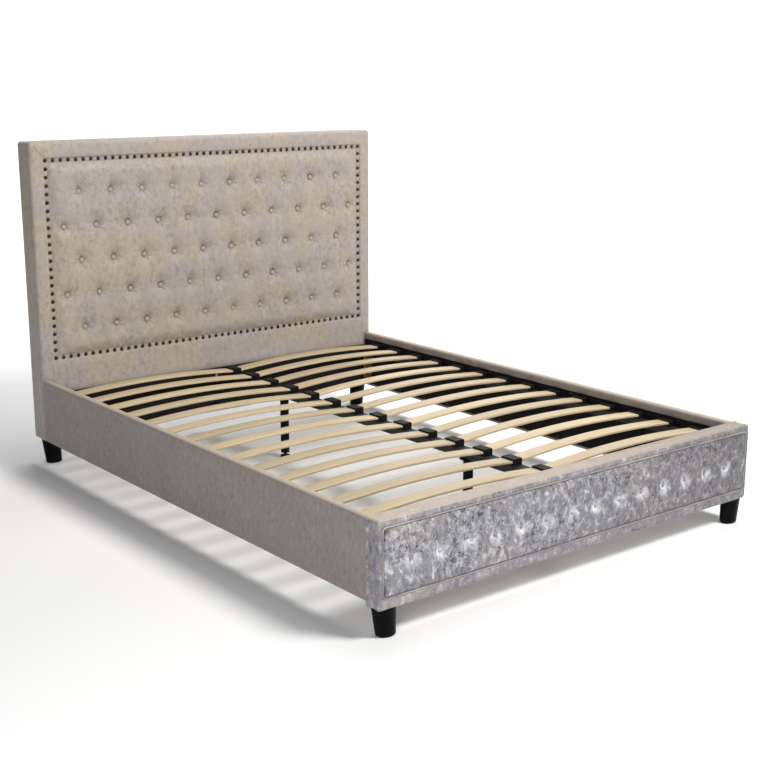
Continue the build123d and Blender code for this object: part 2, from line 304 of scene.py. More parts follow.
def scatter(name, shape, places, material, tilt, seed):
    """Copies of a small shape, facing -Y at each (x, y, z), each turned and tilted a little, in one piece."""
    rng = np.random.default_rng(seed)
    points, faces = shape
    all_points, all_faces = [], []
    for n, place in enumerate(places):
        turn = rng.uniform(0, 2 * math.pi)
        lean_x, lean_z = rng.normal(0, tilt, 2)
        c, s = math.cos(turn), math.sin(turn)
        x = points[:, 0] * c - points[:, 1] * s
        z = points[:, 0] * s + points[:, 1] * c
        y = -points[:, 2] + x * lean_x + z * lean_z
        all_points.append(np.column_stack([x, y, z]) + np.array(place))
        first = n * len(points)
        all_faces += [tuple(first + i for i in f) for f in faces]
    return make_mesh(name, np.concatenate(all_points), all_faces, material)


# ---- materials

class Shader:
    """Small helper for a node material."""

    def __init__(self, name, **constants):
        self.material = bpy.data.materials.new(name)
        self.material.use_nodes = True
        self.tree = self.material.node_tree
        self.bsdf = self.tree.nodes["Principled BSDF"]
        for key, value in constants.items():
            self.bsdf.inputs[key.replace("_", " ")].default_value = value
        self.coordinates = self.add("ShaderNodeTexCoord").outputs["Object"]

    def add(self, kind, inputs=(), **settings):
        node = self.tree.nodes.new(kind)
        for key, value in settings.items():
            setattr(node, key, value)
        for key, value in dict(inputs).items():
            self.put(node.inputs[key], value)
        return node

    def put(self, socket, value):
        if isinstance(value, bpy.types.NodeSocket):
            self.tree.links.new(value, socket)
        else:
            socket.default_value = value

    def stretched(self, scale, vector=None):
        return self.add("ShaderNodeMapping",
                        {"Vector": vector or self.coordinates, "Scale": scale}).outputs["Vector"]

    def noise(self, scale, detail=3.0, roughness=0.5, distortion=0.0, vector=None):
        return self.add("ShaderNodeTexNoise", {"Vector": vector or self.coordinates, "Scale": scale,
                                               "Detail": detail, "Roughness": roughness,
                                               "Distortion": distortion}).outputs["Fac"]

    def voronoi(self, scale, feature="DISTANCE_TO_EDGE", vector=None):
        return self.add("ShaderNodeTexVoronoi", {"Vector": vector or self.coordinates, "Scale": scale},
                        feature=feature).outputs["Distance"]

    def ramp(self, value, stops):
        node = self.add("ShaderNodeValToRGB", {"Fac": value})
        points = node.color_ramp.elements
        while len(points) < len(stops):
            points.new(0.5)
        for point, (position, colour) in zip(points, stops):
            point.position = position
            point.color = colour if len(colour) == 4 else (*colour, 1)
        return node.outputs["Color"]

    def span(self, value, low, high, to_low=0.0, to_high=1.0):
        return self.add("ShaderNodeMapRange", {"Value": value, "From Min": low, "From Max": high,
                                               "To Min": to_low, "To Max": to_high}).outputs["Result"]

    def math(self, operation, a, b=0.0):
        node = self.add("ShaderNodeMath", operation=operation)
        self.put(node.inputs[0], a)
        self.put(node.inputs[1], b)
        return node.outputs[0]

    def mix(self, factor, a, b, blend="MIX"):
        node = self.add("ShaderNodeMix", data_type="RGBA", blend_type=blend)
        self.put(node.inputs["Factor"], factor)
        self.put(node.inputs[6], a)
        self.put(node.inputs[7], b)
        return node.outputs[2]

    def bump(self, height, strength, distance, after=None):
        node = self.add("ShaderNodeBump", {"Height": height, "Strength": strength, "Distance": distance})
        if after is not None:
            self.put(node.inputs["Normal"], after)
        return node.outputs["Normal"]

    def finish(self, colour=None, roughness=None, normal=None):
        for key, value in (("Base Color", colour), ("Roughness", roughness), ("Normal", normal)):
            if value is not None:
                self.put(self.bsdf.inputs[key], value)
        return self.material


def velvet(name, tones, crush=1.0, veins=0.3, sheen=0.3, streak=(1, 1, 0.7), grain=55.0, contrast=1.0,
           top=None, buttons=None, painted_end_shade=0.0):
    """Crushed velvet: cloudy colour, patches of pile lying different ways, painted glints, thin creases
    painted bright, fine nap, and painted shade in hollows.

    tones are pale, cool and warm, which drift across the fabric, then dark, for the crushed pile and painted
    shade, and bright, for painted highlights. top is a painted light tone for upward-facing velvet, lighter
    and warmer where the top light falls. buttons is (pitch, z) of a row of buttons round which a painted
    highlight brightens the velvet. The last argument is how much painted shade darkens the colour towards +X.
    """
    pale, cool, warm, dark, bright = tones
    s = Shader(name, Sheen_Weight=sheen, Sheen_Roughness=0.35, Sheen_Tint=(1.0, 0.98, 0.97, 1))
    s.bsdf.inputs["Specular IOR Level"].default_value = 0.40
    clouds = s.noise(4.2, 3.0, 0.55, 0.3)
    base = s.ramp(clouds, [(0.30, warm), (0.44, pale), (0.56, cool), (0.70, pale)])
    along = s.stretched(streak)
    crushed = s.noise(grain, 7.0, 0.72, 0.45, along)
    fine = s.noise(grain * 5.0, 3.0, 0.7, 0.3)
    patches = s.noise(grain * 0.13, 3.0, 0.6, 0.8)
    deep = s.math("MULTIPLY", s.span(crushed, 0.52, 0.52 - 0.16 / contrast),
                  s.span(patches, 0.38, 0.60, 0.2, 1.0))
    tone = s.mix(s.math("MULTIPLY", deep, 0.60 * crush), base, dark)
    # painted glints: where the crushed pile is brightest, the colour is mixed towards the highlight tone
    glint = s.math("MULTIPLY", s.span(crushed, 0.54, 0.54 + 0.14 / contrast),
                   s.span(patches, 0.60, 0.38, 0.2, 1.0))
    tone = s.mix(s.math("MULTIPLY", glint, 0.60 * crush), tone, bright)
    # painted highlights along thin crease lines
    ridge = s.math("ABSOLUTE", s.math("SUBTRACT", s.noise(grain * 0.6, 5.0, 0.68, 0.6, along), 0.5))
    crease_highlight = s.math("MULTIPLY", s.span(ridge, 0.016, 0.0), s.span(patches, 0.42, 0.60, 0.1, 1.0))
    tone = s.mix(s.math("MULTIPLY", crease_highlight, veins), tone, bright)
    tone = s.mix(s.span(fine, 0.35, 0.65, 0.0, 0.26), tone, dark)
    # painted light: faces that look up are mixed towards the top tone, lighter and warmer where the top light
    # falls
    if top is not None:
        up = s.add("ShaderNodeSeparateXYZ", {"Vector": s.add("ShaderNodeNewGeometry").outputs["Normal"]})
        tone = s.mix(s.span(up.outputs["Z"], 0.25, 0.85, 0.0, 0.75), tone, top)
    # painted shade: the colour darkens towards +X
    if painted_end_shade:
        x, _, _ = s.add("ShaderNodeSeparateXYZ", {"Vector": s.coordinates}).outputs
        tone = s.mix(s.span(x, -0.3, 0.8, 0.0, painted_end_shade), tone, dark)
    # painted highlight round each footboard button, brightest close to it
    if buttons is not None:
        pitch, row_z = buttons
        x, _, z = s.add("ShaderNodeSeparateXYZ", {"Vector": s.coordinates}).outputs
        dx = s.math("PINGPONG", s.math("ADD", x, pitch / 2), pitch / 2)
        dz = s.math("SUBTRACT", z, row_z - 5 * MM)
        away = s.math("SQRT", s.math("ADD", s.math("MULTIPLY", dx, dx), s.math("MULTIPLY", dz, dz)))
        button_highlight = s.math("MULTIPLY", s.span(away, 34 * MM, 8 * MM), s.span(crushed, 0.40, 0.60, 0.25, 0.85))
        tone = s.mix(button_highlight, tone, bright)
    # painted shade: the colour darkens towards the dark tone in hollows, dimples, channels and creases
    hollow = s.add("ShaderNodeAmbientOcclusion", {"Distance": 28 * MM}, samples=8).outputs["AO"]
    tone = s.mix(s.span(hollow, 0.92, 0.40, 0.0, 0.60), tone, dark)
    rough = s.span(crushed, 0.40, 0.66, 0.66, 0.66 - 0.22 * crush)
    normal = s.bump(crushed, 0.45 * crush, 1.6 * MM)
    normal = s.bump(ridge, 0.30 * veins, 1.2 * MM, normal)
    normal = s.bump(fine, 0.28, 0.4 * MM, normal)
    return s.finish(tone, rough, normal)


def birch():
    """Sealed birch ply: grain along X, veneer lines on the edges, a slightly different tone per slat."""
    s = Shader("birch_slat", Coat_Weight=0.12, Coat_Roughness=0.35)
    s.bsdf.inputs["Specular IOR Level"].default_value = 0.4
    x, y, _ = s.add("ShaderNodeSeparateXYZ", {"Vector": s.coordinates}).outputs
    row = s.math("FLOOR", s.math("DIVIDE", s.math("ADD", y, slat_first_y), slat_pitch))
    side = s.math("SIGN", x)
    key = s.add("ShaderNodeCombineXYZ", {"X": row, "Y": side}).outputs[0]
    chance = s.add("ShaderNodeTexWhiteNoise", {"Vector": key}, noise_dimensions="3D")
    shift = s.add("ShaderNodeVectorMath", {0: chance.outputs["Color"], "Scale": 7.0}, operation="SCALE")
    moved = s.add("ShaderNodeVectorMath", {0: s.coordinates, 1: shift.outputs[0]}, operation="ADD").outputs[0]
    figure = s.noise(3.2, 5.0, 0.6, 0.8, s.stretched((1.2, 26, 26), moved))
    lines = s.noise(9.0, 6.0, 0.75, 0.3, s.stretched((2.0, 120, 120), moved))
    wood = s.ramp(figure, [(0.25, (0.48, 0.36, 0.20)), (0.45, (0.60, 0.475, 0.29)),
                           (0.60, (0.66, 0.54, 0.35)), (0.78, (0.54, 0.41, 0.24))])
    wood = s.mix(s.span(lines, 0.42, 0.75, 0.0, 0.35), wood, (0.55, 0.39, 0.22, 1))
    tone = s.span(chance.outputs["Value"], 0, 1, 0.72, 0.94)
    grey = s.add("ShaderNodeCombineColor", {"Red": tone, "Green": tone, "Blue": tone}).outputs[0]
    wood = s.mix(1.0, wood, grey, "MULTIPLY")
    fleck = s.voronoi(38, "F1", s.stretched((0.35, 1.6, 1.6), moved))
    wood = s.mix(s.span(fleck, 0.10, 0.03, 0.0, 0.35), wood, (0.42, 0.28, 0.16, 1))
    normal = s.bump(lines, 0.25, 0.4 * MM)
    return s.finish(wood, s.span(figure, 0.3, 0.7, 0.42, 0.55), normal)


def moulded(name, colour, roughness, grain=900.0, wear=0.10):
    """Black moulded plastic with a fine spark-eroded texture and paler handling marks."""
    s = Shader(name)
    s.bsdf.inputs["Specular IOR Level"].default_value = 0.06
    marks = s.noise(22.0, 5.0, 0.7, 0.5)
    pale = tuple(c + wear * 0.35 for c in colour)
    tone = s.mix(s.span(marks, 0.50, 0.80, 0.0, wear * 3), (*colour, 1), (*pale, 1))
    normal = s.bump(s.noise(grain, 3.0, 0.6), 0.35, 0.25 * MM)
    return s.finish(tone, s.span(marks, 0.3, 0.7, roughness - 0.08, roughness + 0.10), normal)


def coated_metal(name, colour, metallic, roughness, worn):
    """Painted or plated metal, with worn lighter patches."""
    s = Shader(name, Metallic=metallic)
    marks = s.noise(60.0, 5.0, 0.7, 0.8)
    tone = s.mix(s.span(marks, 0.50, 0.78), (*colour, 1), (*worn, 1))
    normal = s.bump(s.noise(420.0, 3.0, 0.6), 0.25, 0.2 * MM)
    return s.finish(tone, s.span(marks, 0.3, 0.75, roughness, roughness + 0.18), normal)


def black_cloth():
    """Non-woven black lining cloth: short random fibres and small pressed dots."""
    s = Shader("lining_cloth", Sheen_Weight=0.04, Sheen_Roughness=0.5)
    s.bsdf.inputs["Specular IOR Level"].default_value = 0.15
    fibres = s.noise(260.0, 6.0, 0.8, 1.5)
    dots = s.span(s.voronoi(330.0, "F1"), 0.10, 0.32)
    tone = s.mix(fibres, (0.003, 0.003, 0.003, 1), (0.014, 0.013, 0.013, 1))
    normal = s.bump(dots, 0.4, 0.3 * MM)
    normal = s.bump(fibres, 0.5, 0.4 * MM, normal)
    return s.finish(tone, s.span(fibres, 0.3, 0.7, 0.80, 0.96), normal)


def sawn_timber():
    """Pine that is hidden in the finished bed but shows where the frame is open."""
    s = Shader("sawn_timber")
    grain = s.noise(6.0, 6.0, 0.65, 0.6, s.stretched((3, 3, 30)))
    tone = s.ramp(grain, [(0.3, (0.52, 0.36, 0.20)), (0.5, (0.68, 0.51, 0.31)), (0.7, (0.60, 0.43, 0.25))])
    return s.finish(tone, s.span(grain, 0.3, 0.7, 0.6, 0.75), s.bump(grain, 0.3, 0.5 * MM))


first_slat_low, first_slat_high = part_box("slat_right_01")
second_slat_low, second_slat_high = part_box("slat_right_02")
slat_pitch = second_slat_low[1] - first_slat_low[1]
slat_first_y = -(first_slat_low[1] + first_slat_high[1]) / 2 + slat_pitch / 2

foot_button_spots, foot_button_pitch = foot_button_places()

champagne = (0.43, 0.370, 0.305, 1)
lilac_grey = (0.40, 0.36, 0.345, 1)
straw = (0.435, 0.375, 0.295, 1)
taupe = (0.13, 0.105, 0.092, 1)
silver = (0.285, 0.277, 0.300, 1)
slate = (0.038, 0.034, 0.040, 1)
ivory = (0.60, 0.555, 0.49, 1)
mushroom = (0.315, 0.272, 0.250, 1)
mauve_grey = (0.290, 0.255, 0.250, 1)
sand = (0.335, 0.285, 0.245, 1)
moonlight = (0.86, 0.86, 0.92, 1)
# painted light tone for the tops of the rails and the footboard
lit_top_tone = (0.47, 0.40, 0.31, 1)
# the rails' painted highlight tone
rail_highlight = (0.52, 0.49, 0.49, 1)

# each set ends with dark, for the crushed pile and painted shade, and the colour of painted highlights
headboard_tones = (champagne, lilac_grey, straw, taupe, ivory)
footboard_tones = (silver, silver, lilac_grey, slate, moonlight)
rail_tones = (mushroom, mauve_grey, sand, taupe, rail_highlight)
row_of_buttons = (foot_button_pitch, foot_button_spots[0][1])

border_velvet = velvet("headboard_border_velvet", headboard_tones, crush=0.65, veins=0.2)
panel_velvet = velvet("headboard_panel_velvet", headboard_tones, crush=0.70, veins=0.25, grain=60.0)
button_velvet = velvet("button_velvet", (champagne, straw, champagne, taupe, ivory), crush=0.4, sheen=0.15,
                       grain=120.0)
foot_velvet = velvet("footboard_velvet", footboard_tones, crush=1.2, veins=0.5, grain=56.0, contrast=1.25,
                     top=lit_top_tone, painted_end_shade=0.35)
crushed_velvet = velvet("footboard_panel_velvet", footboard_tones, crush=1.5, veins=0.8, streak=(1, 1, 0.8),
                        grain=50.0, contrast=1.45, buttons=row_of_buttons, painted_end_shade=0.58)
foot_button_velvet = velvet("footboard_button_velvet", (silver, moonlight, silver, slate, moonlight),
                            crush=0.5, grain=120.0)
piping_velvet = velvet("piping_velvet", (silver, champagne, ivory, slate, ivory), crush=0.4, grain=120.0)
rail_velvet = velvet("rail_velvet", rail_tones, crush=0.75, veins=0.55, sheen=0.2, streak=(1, 1, 0.55),
                     grain=75.0, top=lit_top_tone)
lining = black_cloth()
slat_wood = birch()
holder_plastic = moulded("holder_plastic", (0.009, 0.009, 0.008), 0.46, wear=0.06)
foot_plastic = moulded("foot_plastic", (0.003, 0.003, 0.003), 0.30, wear=0.01)
leg_plastic = moulded("leg_plastic", (0.008, 0.008, 0.009), 0.45)
black_steel = coated_metal("black_steel", (0.012, 0.012, 0.013), 0.0, 0.42, (0.03, 0.03, 0.03))
yellow_zinc = coated_metal("yellow_zinc", (0.55, 0.42, 0.16), 0.9, 0.34, (0.66, 0.56, 0.34))
bronze = coated_metal("antique_bronze", (0.030, 0.020, 0.013), 0.70, 0.30, (0.12, 0.075, 0.04))
black_wood = coated_metal("black_batten", (0.014, 0.014, 0.014), 0.0, 0.6, (0.03, 0.028, 0.026))
staple_steel = coated_metal("staple_steel", (0.35, 0.35, 0.36), 0.9, 0.35, (0.5, 0.5, 0.5))
timber = sawn_timber()


# ---- cloth simulation

VELVET_CLOTH = {"quality": 6, "mass": 0.25, "tension_stiffness": 18, "compression_stiffness": 12,
                "shear_stiffness": 6, "bending_stiffness": 0.12, "air_damping": 3, "use_pressure": True}


def inflate(obj, pinned, pressure, slack, cap, frames=20):
    """Let the cover swell and wrinkle as cloth. pinned points stay put, and none moves further than cap."""
    start = get_points(obj)
    group = obj.vertex_groups.new(name="held")
    group.add([int(i) for i in np.flatnonzero(pinned)], 1.0, "REPLACE")
    cloth = obj.modifiers.new("cloth", "CLOTH")
    settings = cloth.settings
    for key, value in VELVET_CLOTH.items():
        setattr(settings, key, value)
    settings.shrink_min = -slack
    settings.uniform_pressure_force = pressure
    settings.vertex_group_mass = "held"
    settings.effector_weights.gravity = 0
    cloth.collision_settings.use_collision = False
    cloth.point_cache.frame_start = 1
    cloth.point_cache.frame_end = frames
    scene = bpy.context.scene
    for number in range(1, frames + 1):
        scene.frame_set(number)
    graph = bpy.context.evaluated_depsgraph_get()
    moved = np.empty(len(obj.data.vertices) * 3)
    obj.evaluated_get(graph).data.vertices.foreach_get("co", moved)
    moved = moved.reshape(-1, 3)
    obj.modifiers.clear()
    scene.frame_set(1)
    step = moved - start
    length = np.linalg.norm(step, axis=1, keepdims=True)
    step = step * np.minimum(1, cap / np.maximum(length, 1e-9))
    step[np.isnan(step)] = 0
    set_points(obj, start + step)


# ---- headboard

def nearest(points_x, points_z, places):
    """Distance to the nearest of the places, and which it is."""
    best = np.full(len(points_x), 9.0)
    which = np.zeros(len(points_x), int)
    for k, (x, z) in enumerate(places):
        d = np.hypot(points_x - x, points_z - z)
        closer = d < best
        best[closer] = d[closer]
        which[closer] = k
    return best, which


def crease(x, z, a, b, width):
    """1 on the line from a to b, falling to 0 a few widths away, and the share of the way along it."""
    ax, az = a
    dx, dz = b[0] - ax, b[1] - az
    length = math.hypot(dx, dz)
    t = np.clip(((x - ax) * dx + (z - az) * dz) / length ** 2, 0, 1)
    away = np.hypot(x - ax - t * dx, z - az - t * dz)
    return np.exp(-(away / width) ** 2), t


def edge_distance(x, z, rect):
    half, low, high = rect
    return np.minimum(half - np.abs(x), np.minimum(z - low, high - z))


def headboard_panel():
    places, pitch_x, pitch_z = head_button_places()
    edge_y = nail_floor + 1.6 * MM
    pad_rect = grown(head_panel, 5 * MM)
    rng = np.random.default_rng(11)
    depth_of = 18 * MM * rng.uniform(0.85, 1.12, len(places))

    def height(x, z):
        d = edge_distance(x, z, pad_rect)
        rise = 0.75 * smooth(d / (46 * MM)) + 0.25 * smooth(d / (14 * MM))
        out = 17 * MM * rise + 1.2 * MM * cloud(x, z, 0.22, 3, 2) * rise
        # the cover sinks deeper above each button than below it
        near, which = nearest(x - 2.5 * MM, z - 5 * MM, places)
        out -= (depth_of[which] * np.exp(-(near / (19 * MM)) ** 1.3)
                + 1.5 * MM * np.exp(-(near / (48 * MM)) ** 2))
        return edge_y - out

    panel, front_count = grid_piece("headboard_tufted_panel_velvet", pad_rect, 6 * MM, height,
                                    back_of("headboard_tufted_panel") - 1 * MM, panel_velvet)
    co = get_points(panel)
    near, _ = nearest(co[:, 0], co[:, 2], places)
    held = (near < 8 * MM) | (edge_distance(co[:, 0], co[:, 2], pad_rect) < 9 * MM)
    held[front_count:] = True
    inflate(panel, held, pressure=3.0, slack=0.012, cap=2.5 * MM)
    add_modifier(panel, "SUBSURF", levels=1, render_levels=1)
    apply_modifiers(panel)

    # pulled lines between the buttons, pleats from the outer rows to the nails, and small puckers
    co = get_points(panel)
    x, z = co[:, 0], co[:, 2]
    front = co[:, 1] < edge_y + 1 * MM
    sink = np.zeros(len(co))
    half, low, high = head_panel
    links = []
    for i, a in enumerate(places):
        for b in places[i + 1:]:
            beside, above = abs(a[0] - b[0]), abs(a[1] - b[1])
            if abs(beside - pitch_x / 2) < 5 * MM and abs(above - pitch_z) < 5 * MM:
                links.append((a, b))
    for a, b in links:
        line, t = crease(x, z, a, b, 8 * MM)
        sink += line * 1.5 * np.abs(2 * t - 1) ** 3 * rng.uniform(0.4, 1.2) * MM
    top_z, bottom_z = max(p[1] for p in places), min(p[1] for p in places)
    for a in places:
        for row_z, edge in ((top_z, high), (bottom_z, low)):
            if abs(a[1] - row_z) < 1 * MM:
                end = (a[0] + rng.uniform(-4, 4) * MM, edge)
                line, _ = crease(x, z, a, end, 2.6 * MM)
                sink += line * 1.9 * MM * rng.uniform(0.3, 1.2)
    for side in (-1, 1):
        outer = [p for p in places if side * p[0] > 5 * pitch_x - 20 * MM]
        for a in outer:
            line, _ = crease(x, z, a, (side * half, a[1] + rng.uniform(-10, 10) * MM), 4 * MM)
            sink += line * 0.9 * MM
    near, which = nearest(x, z, places)
    angle = np.arctan2(z - np.array(places)[which, 1], x - np.array(places)[which, 0])
    spokes = np.cos(angle * 7 + which * 1.7) * 0.5 + np.cos(angle * 11 + which * 2.9) * 0.5
    pucker = np.exp(-((near - 19 * MM) / (9 * MM)) ** 2)
    sink += spokes * pucker * 2.3 * MM
    fade = smooth(edge_distance(x, z, pad_rect) / (14 * MM))
    co[:, 1] += np.where(front, sink * fade, 0)
    set_points(panel, co)
    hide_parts("headboard_tufted_panel")


def headboard_border():
    """Flat padded border: channel for the nails, gently crowned face, rounded outer edge, wrapped ends."""
    channel = grown(nail_rect, 8 * MM)
    crest = grown(nail_rect, 14 * MM)
    rings = [(head_panel, 6 * MM, back_of("headboard_tufted_panel") - 2 * MM, 0),
             (head_panel, 6 * MM, nail_floor, 0)]
    for k in range(5):
        rings.append((grown(head_panel, (k + 1) * 2.8 * MM), 6 * MM, nail_floor - 0.2 * MM, 1))
    for rise, t in quarter(4):
        y = nail_floor - (nail_floor - head_front) * rise
        rings.append((between(channel, crest, t), 7 * MM, y, 0.6))
    edge = 13 * MM
    flat_outer = grown(head_outer, -edge)
    steps = 12
    for k in range(1, steps + 1):
        t = k / steps
        crown = 1.5 * MM * math.sin(math.pi * t) ** 0.6
        rings.append((between(crest, flat_outer, t), 7 * MM, head_front - crown, 1))
    for k in range(1, 7):
        a = math.pi / 2 * k / 6
        rings.append((grown(flat_outer, edge * math.sin(a)), (7 + 7 * k / 6) * MM,
                      head_front + edge * (1 - math.cos(a)), 0.3 * (6 - k) / 6))
    depth = head_back - head_front
    for k in range(1, 9):
        t = k / 8
        y = head_front + edge + (depth - edge - 3 * MM) * t
        belly = -0.8 * MM * math.sin(math.pi * t)
        rings.append((grown(head_outer, belly), 14 * MM, y, 0))
    rings.append((grown(head_outer, -2 * MM), 13 * MM, head_back, 0))
    rings.append((grown(head_outer, -5.9 * MM), 11 * MM, head_back, 0))
    rings.append((grown(head_outer, -5.9 * MM), 11 * MM, head_front + 15 * MM, 0))

    step_x = 2 * nail_rect[0] / (nail_counts[0] - 1)
    step_z = (nail_rect[2] - nail_rect[1]) / (nail_counts[1] - 1)

    def shape(x, z, diagonal):
        """Unevenness, a ripple in step with the nails, and a small fold on each mitre."""
        out = 0.9 * MM * cloud(x, z, 0.14, 21, 3)
        on_sides = np.abs(np.abs(x) - nail_rect[0]) < 9 * MM
        on_ends = (np.abs(z - nail_rect[1]) < 9 * MM) | (np.abs(z - nail_rect[2]) < 9 * MM)
        along_x = np.cos(2 * math.pi * (x + nail_rect[0]) / step_x)
        along_z = np.cos(2 * math.pi * (z - nail_rect[1]) / step_z)
        wave = np.where(on_sides, along_z, np.where(on_ends, along_x, 0))
        return out + 1.3 * MM * wave + 1.4 * MM * diagonal

    border = ring_piece("headboard_border_velvet", rings, border_velvet, 330, 240, 10, shape)
    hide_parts("headboard_border")


def headboard_trim():
    """Covered buttons and domed nails."""
    places, _, _ = head_button_places()
    r = head_button_radius
    profile = [(0, 7.2 * MM), (r * 0.25, 7.1 * MM), (r * 0.5, 6.4 * MM), (r * 0.75, 4.9 * MM),
               (r * 0.92, 2.9 * MM), (r, 1.0 * MM), (r * 0.93, -0.6 * MM), (r * 0.6, -1.2 * MM),
               (0, -1.2 * MM)]
    seat = back_of("headboard_buttons")
    buttons = scatter("headboard_buttons_velvet", lathe(profile, 24),
                      [(x, seat, z) for x, z in places], button_velvet, 0.06, 5)
    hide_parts("headboard_buttons")

    half, low, high = nail_rect
    xs = np.linspace(-half, half, nail_counts[0])
    zs = np.linspace(low, high, nail_counts[1])
    spots = [(x, nail_floor, z) for x in xs for z in (low, high)]
    spots += [(x, nail_floor, z) for z in zs[1:-1] for x in (-half, half)]
    r = nail_radius
    dome = [(0, 4.6 * MM)]
    for k in range(1, 7):
        a = math.pi / 2 * k / 7
        dome.append((r * math.sin(a), 0.6 * MM + 4.0 * MM * math.cos(a)))
    dome += [(r, 0.5 * MM), (r * 0.98, 0.0), (r * 0.5, -0.4 * MM), (0, -0.4 * MM)]
    nails = scatter("headboard_nails_bronze", lathe(dome, 20), spots, bronze, 0.05, 8)
    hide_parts("headboard_nails")


# ---- footboard

def footboard_panel():
    places, pitch = foot_button_places()
    half, low, high = foot_panel
    z_button = places[0][1]
    edge_y = foot_front + 3.0 * MM
    rng = np.random.default_rng(31)

    def height(x, z):
        d = edge_distance(x, z, foot_panel)
        rise = np.sqrt(np.clip(1 - (1 - np.clip(d / (22 * MM), 0, 1)) ** 2, 0, 1))
        out = 6.5 * MM * rise
        near, _ = nearest(x, z, places)
        out -= 10 * MM * np.exp(-(near / (23 * MM)) ** 1.4)
        return edge_y - out

    panel, front_count = grid_piece("footboard_tufted_panel_velvet", foot_panel, 4.5 * MM, height,
                                    foot_panel_back, crushed_velvet)
    co = get_points(panel)
    near, _ = nearest(co[:, 0], co[:, 2], places)
    held = (near < 7 * MM) | (edge_distance(co[:, 0], co[:, 2], foot_panel) < 3 * MM)
    held[front_count:] = True
    inflate(panel, held, pressure=2.5, slack=0.025, cap=2.5 * MM)
    add_modifier(panel, "SUBSURF", levels=1, render_levels=1)
    apply_modifiers(panel)

    co = get_points(panel)
    x, z = co[:, 0], co[:, 2]
    front = co[:, 1] < foot_panel_back - 1 * MM
    sink = np.zeros(len(co))
    for a in places:
        for side in (-1, 1):
            for edge in (low, high):
                end = (a[0] + side * pitch * rng.uniform(0.34, 0.50), edge)
                line, _ = crease(x, z, a, end, rng.uniform(3.5, 5.0) * MM)
                sink += line * rng.uniform(1.6, 2.6) * MM
        for _ in range(3):
            edge = (low, high)[int(rng.integers(2))]
            end = (a[0] + pitch * rng.uniform(-0.3, 0.3), edge)
            line, _ = crease(x, z, a, end, 2.6 * MM)
            sink += line * rng.uniform(0.6, 1.6) * MM
    # fine crush lines, leaning a little to one side
    lean = x + 0.35 * z * value_noise(x / 0.09, z / 0.2, 77)
    sink += 0.7 * MM * cloud(lean * 1.8, z, 0.06, 51, 3)
    fade = smooth(edge_distance(x, z, foot_panel) / (8 * MM))
    co[:, 1] += np.where(front, sink * fade, 0)
    co[:, 1] = np.maximum(co[:, 1], foot_front - 7.0 * MM)
    set_points(panel, co)
    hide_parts("footboard_tufted_panel")


def footboard_border():
    """Narrow rolled border, wrapped round top, ends and bottom, with a bead where the rails butt."""
    window = grown(foot_panel, 4.6 * MM)
    crest = grown(foot_panel, 8 * MM)
    rings = [(window, 12 * MM, foot_panel_back, 0), (window, 12 * MM, foot_front + 4 * MM, 0.3)]
    for rise, t in quarter(3):
        y = foot_front + 4 * MM - 3.6 * MM * rise
        rings.append((between(window, crest, t), 12 * MM, y, 0.6))
    edge = 7 * MM
    flat_outer = grown(foot_outer, -edge)
    for k in range(1, 8):
        t = k / 7
        y = foot_front + 0.4 * MM - 1.2 * MM * math.sin(math.pi * t)
        rings.append((between(crest, flat_outer, t), 12 * MM, y, 1))
    for k in range(1, 7):
        a = math.pi / 2 * k / 6
        rings.append((grown(flat_outer, edge * math.sin(a)), (12 - 2 * k / 6) * MM,
                      foot_front + 0.4 * MM + (edge + 3 * MM) * (1 - math.cos(a)), 0.3 * (6 - k) / 6))
    depth = foot_back - foot_front
    for k in range(1, 8):
        t = k / 7
        rings.append((grown(foot_outer, -1.2 * MM * math.sin(math.pi * t)), 10 * MM,
                      foot_front + 10 * MM + (depth - 16 * MM) * t, 0))
    for out, y in ((0.6, -4.6), (1.4, -3.2), (1.4, -1.6), (0.2, -0.2)):
        rings.append((grown(foot_outer, out * MM), 10 * MM, foot_back + y * MM, 0))
    rings.append((grown(foot_outer, -5.8 * MM), 8 * MM, foot_back, 0))
    rings.append((grown(foot_outer, -5.8 * MM), 8 * MM, foot_panel_back + 1 * MM, 0))

    def shape(x, z, diagonal):
        return 0.8 * MM * cloud(x, z, 0.05, 61, 3) + 1.3 * MM * diagonal

    border = ring_piece("footboard_border_velvet", rings, foot_velvet, 420, 60, 8, shape)
    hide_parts("footboard_border")


def inner_return():
    """Velvet turned over the footboard's top and down its inner face."""
    half = foot_outer[0] - 6 * MM
    top = foot_outer[2] - 6 * MM
    low = foot_outer[2] - 30 * MM
    y = foot_back
    xs = np.linspace(-half, half, 240)
    zs = np.linspace(low, top, 7)
    rows = []
    for side in (0, 1):
        for z in (zs if side == 0 else zs[::-1]):
            depth = np.full_like(xs, y - 1.5 * MM)
            if side == 0:
                bulge = 0.5 * MM * cloud(xs, np.full_like(xs, z), 0.06, 91, 2)
                depth = y + (1.2 * MM + bulge) * math.sin(math.pi * (z - low) / (top - low)) ** 0.5
            rows.append(np.column_stack([xs, depth, np.full_like(xs, z)]))
    columns = len(xs)
    faces = strip_faces(len(rows), columns, True, False)
    faces += end_caps(len(rows), columns)
    obj = make_mesh("footboard_inner_return_velvet", np.concatenate(rows), faces, foot_velvet)


